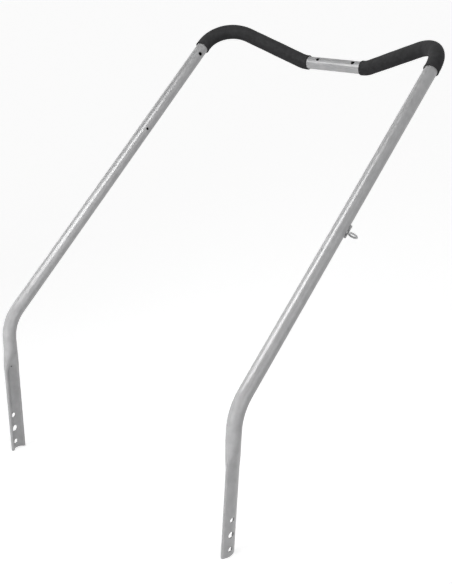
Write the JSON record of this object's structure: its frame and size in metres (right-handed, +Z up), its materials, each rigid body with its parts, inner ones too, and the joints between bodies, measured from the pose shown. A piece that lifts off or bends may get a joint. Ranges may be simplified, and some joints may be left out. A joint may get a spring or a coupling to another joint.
{
  "type": "lawn mower handle",
  "caption": "Push handle of a walk-behind lawn mower: a bent steel tube with pressed, drilled ends, foam grips on its top corners and a wire eye for the starter rope.",
  "frame": {"origin": "midway between the legs, on the line through the middle bolt holes of the pressed ends", "axes": "+Z up from the deck, +Y back towards the person who pushes, +X across the legs towards the leg with the rope guide"},
  "size_m": [0.5842, 0.7035, 0.7828],
  "materials": {
    "coated_steel": "satin silver-grey coat on steel tube",
    "grip_foam": "dark grey closed-cell foam, matt"
  },
  "bodies": {
    "root": {"handle_tube": "coated_steel", "left_grip": "grip_foam", "right_grip": "grip_foam", "rope_guide": "coated_steel"}
  },
  "joints": []
}
